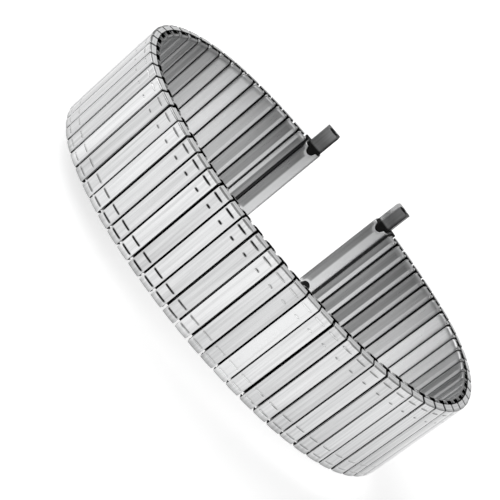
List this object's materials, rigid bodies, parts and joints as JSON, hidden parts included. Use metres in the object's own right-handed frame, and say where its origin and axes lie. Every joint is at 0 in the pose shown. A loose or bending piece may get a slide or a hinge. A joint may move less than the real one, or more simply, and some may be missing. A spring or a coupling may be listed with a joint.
{
  "type": "expansion watch band",
  "caption": "Curled expansion watch band of polished steel links with satin links against the wrist and telescoping spring bar ends",
  "frame": {"origin": "Middle of the outline seen from above, at the height of the lower tabs' tips", "axes": "+X along the front of the band from its left end to its right end, +Y from the front towards the gap for the watch, +Z across the band's width"},
  "size_m": [0.0654, 0.0434, 0.0232],
  "materials": {
    "polished_steel": "polished, fine brushed lines",
    "satin_steel": "satin",
    "dull_steel": "dull drawn tube",
    "spring_steel": "plain spring strip and wire"
  },
  "bodies": {
    "front": {"front_outer_links": "polished_steel", "front_inner_links": "satin_steel", "front_clips_and_springs": "spring_steel"},
    "left_1_hinge": {"left_1_hinge_link": "satin_steel"},
    "left_1": {"left_1_outer_links": "polished_steel", "left_1_inner_links": "satin_steel", "left_1_clips_and_springs": "spring_steel"},
    "left_2_hinge": {"left_2_hinge_link": "satin_steel"},
    "left_2": {"left_2_outer_links": "polished_steel", "left_2_inner_links": "satin_steel", "left_2_clips_and_springs": "spring_steel"},
    "left_3_hinge": {"left_3_hinge_link": "satin_steel"},
    "left_3": {"left_3_outer_links": "polished_steel", "left_3_inner_links": "satin_steel", "left_3_clips_and_springs": "spring_steel"},
    "left_4_hinge": {"left_4_hinge_link": "satin_steel"},
    "left_4": {"left_4_outer_links": "polished_steel", "left_4_inner_links": "satin_steel", "left_4_clips_and_springs": "spring_steel"},
    "left_5_hinge": {"left_5_hinge_link": "satin_steel"},
    "left_5": {"left_5_outer_links": "polished_steel", "left_5_inner_links": "satin_steel", "left_5_clips_and_springs": "spring_steel", "left_end_link": "satin_steel", "left_end_channel": "satin_steel", "left_upper_spring": "spring_steel", "left_lower_spring": "spring_steel"},
    "left_upper_tab": {"left_upper_tab": "dull_steel"},
    "left_lower_tab": {"left_lower_tab": "dull_steel"},
    "right_1_hinge": {"right_1_hinge_link": "satin_steel"},
    "right_1": {"right_1_outer_links": "polished_steel", "right_1_inner_links": "satin_steel", "right_1_clips_and_springs": "spring_steel"},
    "right_2_hinge": {"right_2_hinge_link": "satin_steel"},
    "right_2": {"right_2_outer_links": "polished_steel", "right_2_inner_links": "satin_steel", "right_2_clips_and_springs": "spring_steel"},
    "right_3_hinge": {"right_3_hinge_link": "satin_steel"},
    "right_3": {"right_3_outer_links": "polished_steel", "right_3_inner_links": "satin_steel", "right_3_clips_and_springs": "spring_steel"},
    "right_4_hinge": {"right_4_hinge_link": "satin_steel"},
    "right_4": {"right_4_outer_links": "polished_steel", "right_4_inner_links": "satin_steel", "right_4_clips_and_springs": "spring_steel"},
    "right_5_hinge": {"right_5_hinge_link": "satin_steel"},
    "right_5": {"right_5_outer_links": "polished_steel", "right_5_inner_links": "satin_steel", "right_5_clips_and_springs": "spring_steel", "right_end_link": "satin_steel", "right_end_channel": "satin_steel", "right_upper_spring": "spring_steel", "right_lower_spring": "spring_steel"},
    "right_upper_tab": {"right_upper_tab": "dull_steel"},
    "right_lower_tab": {"right_lower_tab": "dull_steel"}
  },
  "joints": [
    {"name": "left_flex", "type": "hinge", "parent": "front", "child": "left_1_hinge", "pos_m": [-0.01279, -0.01892, 0.0116], "axis": [0, 0, -1], "range_deg": [-12, 3.5], "stiffness_Nm_per_rad": 0.01},
    {"name": "left_stretch", "type": "slide", "parent": "left_1_hinge", "child": "left_1", "axis": [-0.9611, 0.2761, 0], "range_m": [0, 0.00034], "stiffness_N_per_m": 1000, "springref_m": -0.0005},
    {"name": "left_2_flex", "type": "hinge", "parent": "left_1", "child": "left_2_hinge", "pos_m": [-0.02374, -0.01404, 0.0116], "axis": [0, 0, -1], "range_deg": [-12, 3.5], "stiffness_Nm_per_rad": 0.01},
    {"name": "left_2_stretch", "type": "slide", "parent": "left_2_hinge", "child": "left_2", "axis": [-0.7891, 0.6143, 0], "range_m": [0, 0.00034], "stiffness_N_per_m": 1000, "springref_m": -0.0005},
    {"name": "left_3_flex", "type": "hinge", "parent": "left_2", "child": "left_3_hinge", "pos_m": [-0.03079, -0.00454, 0.0116], "axis": [0, 0, -1], "range_deg": [-12, 3.5], "stiffness_Nm_per_rad": 0.01},
    {"name": "left_3_stretch", "type": "slide", "parent": "left_3_hinge", "child": "left_3", "axis": [-0.2207, 0.9753, 0], "range_m": [0, 0.00034], "stiffness_N_per_m": 1000, "springref_m": -0.0005},
    {"name": "left_4_flex", "type": "hinge", "parent": "left_3", "child": "left_4_hinge", "pos_m": [-0.02974, 0.00717, 0.0116], "axis": [0, 0, -1], "range_deg": [-12, 3.5], "stiffness_Nm_per_rad": 0.01},
    {"name": "left_4_stretch", "type": "slide", "parent": "left_4_hinge", "child": "left_4", "axis": [0.5203, 0.854, 0], "range_m": [0, 0.00034], "stiffness_N_per_m": 1000, "springref_m": -0.0005},
    {"name": "left_5_flex", "type": "hinge", "parent": "left_4", "child": "left_5_hinge", "pos_m": [-0.02113, 0.01529, 0.0116], "axis": [0, 0, -1], "range_deg": [-12, 3.5], "stiffness_Nm_per_rad": 0.01},
    {"name": "left_5_stretch", "type": "slide", "parent": "left_5_hinge", "child": "left_5", "axis": [0.9273, 0.3742, 0], "range_m": [0, 0.00034], "stiffness_N_per_m": 1000, "springref_m": -0.0005},
    {"name": "left_upper_tab_slide", "type": "slide", "parent": "left_5", "child": "left_upper_tab", "axis": [0, 0, -1], "range_m": [0, 0.0034], "stiffness_N_per_m": 300, "springref_m": -0.002, "deforming": ["left_upper_spring"]},
    {"name": "left_lower_tab_slide", "type": "slide", "parent": "left_5", "child": "left_lower_tab", "axis": [0, 0, 1], "range_m": [0, 0.0034], "stiffness_N_per_m": 300, "springref_m": -0.002, "deforming": ["left_lower_spring"]},
    {"name": "right_flex", "type": "hinge", "parent": "front", "child": "right_1_hinge", "pos_m": [0.01346, -0.01892, 0.0116], "axis": [0, 0, 1], "range_deg": [-12, 3.5], "stiffness_Nm_per_rad": 0.01},
    {"name": "right_stretch", "type": "slide", "parent": "right_1_hinge", "child": "right_1", "axis": [0.9602, 0.2794, 0], "range_m": [0, 0.00034], "stiffness_N_per_m": 1000, "springref_m": -0.0005},
    {"name": "right_2_flex", "type": "hinge", "parent": "right_1", "child": "right_2_hinge", "pos_m": [0.02432, -0.01385, 0.0116], "axis": [0, 0, 1], "range_deg": [-12, 3.5], "stiffness_Nm_per_rad": 0.01},
    {"name": "right_2_stretch", "type": "slide", "parent": "right_2_hinge", "child": "right_2", "axis": [0.7658, 0.6431, 0], "range_m": [0, 0.00034], "stiffness_N_per_m": 1000, "springref_m": -0.0005},
    {"name": "right_3_flex", "type": "hinge", "parent": "right_2", "child": "right_3_hinge", "pos_m": [0.03092, -0.00406, 0.0116], "axis": [0, 0, 1], "range_deg": [-12, 3.5], "stiffness_Nm_per_rad": 0.01},
    {"name": "right_3_stretch", "type": "slide", "parent": "right_3_hinge", "child": "right_3", "axis": [0.1792, 0.9838, 0], "range_m": [0, 0.00034], "stiffness_N_per_m": 1000, "springref_m": -0.0005},
    {"name": "right_4_flex", "type": "hinge", "parent": "right_3", "child": "right_4_hinge", "pos_m": [0.03004, 0.00777, 0.0116], "axis": [0, 0, 1], "range_deg": [-12, 3.5], "stiffness_Nm_per_rad": 0.01},
    {"name": "right_4_stretch", "type": "slide", "parent": "right_4_hinge", "child": "right_4", "axis": [-0.4517, 0.8922, 0], "range_m": [0, 0.00034], "stiffness_N_per_m": 1000, "springref_m": -0.0005},
    {"name": "right_5_flex", "type": "hinge", "parent": "right_4", "child": "right_5_hinge", "pos_m": [0.02183, 0.01622, 0.0116], "axis": [0, 0, 1], "range_deg": [-12, 3.5], "stiffness_Nm_per_rad": 0.01},
    {"name": "right_5_stretch", "type": "slide", "parent": "right_5_hinge", "child": "right_5", "axis": [-0.9214, 0.3887, 0], "range_m": [0, 0.00034], "stiffness_N_per_m": 1000, "springref_m": -0.0005},
    {"name": "right_upper_tab_slide", "type": "slide", "parent": "right_5", "child": "right_upper_tab", "axis": [0, 0, -1], "range_m": [0, 0.0034], "stiffness_N_per_m": 300, "springref_m": -0.002, "deforming": ["right_upper_spring"]},
    {"name": "right_lower_tab_slide", "type": "slide", "parent": "right_5", "child": "right_lower_tab", "axis": [0, 0, 1], "range_m": [0, 0.0034], "stiffness_N_per_m": 300, "springref_m": -0.002, "deforming": ["right_lower_spring"]}
  ],
  "couplings": [
    {"joint": "left_2_flex", "follows": "left_flex", "ratio": 1},
    {"joint": "left_2_stretch", "follows": "left_stretch", "ratio": 1},
    {"joint": "left_3_flex", "follows": "left_flex", "ratio": 1},
    {"joint": "left_3_stretch", "follows": "left_stretch", "ratio": 1},
    {"joint": "left_4_flex", "follows": "left_flex", "ratio": 1},
    {"joint": "left_4_stretch", "follows": "left_stretch", "ratio": 1},
    {"joint": "left_5_flex", "follows": "left_flex", "ratio": 1},
    {"joint": "left_5_stretch", "follows": "left_stretch", "ratio": 1},
    {"joint": "right_2_flex", "follows": "right_flex", "ratio": 1},
    {"joint": "right_2_stretch", "follows": "right_stretch", "ratio": 1},
    {"joint": "right_3_flex", "follows": "right_flex", "ratio": 1},
    {"joint": "right_3_stretch", "follows": "right_stretch", "ratio": 1},
    {"joint": "right_4_flex", "follows": "right_flex", "ratio": 1},
    {"joint": "right_4_stretch", "follows": "right_stretch", "ratio": 1},
    {"joint": "right_5_flex", "follows": "right_flex", "ratio": 1},
    {"joint": "right_5_stretch", "follows": "right_stretch", "ratio": 1}
  ]
}
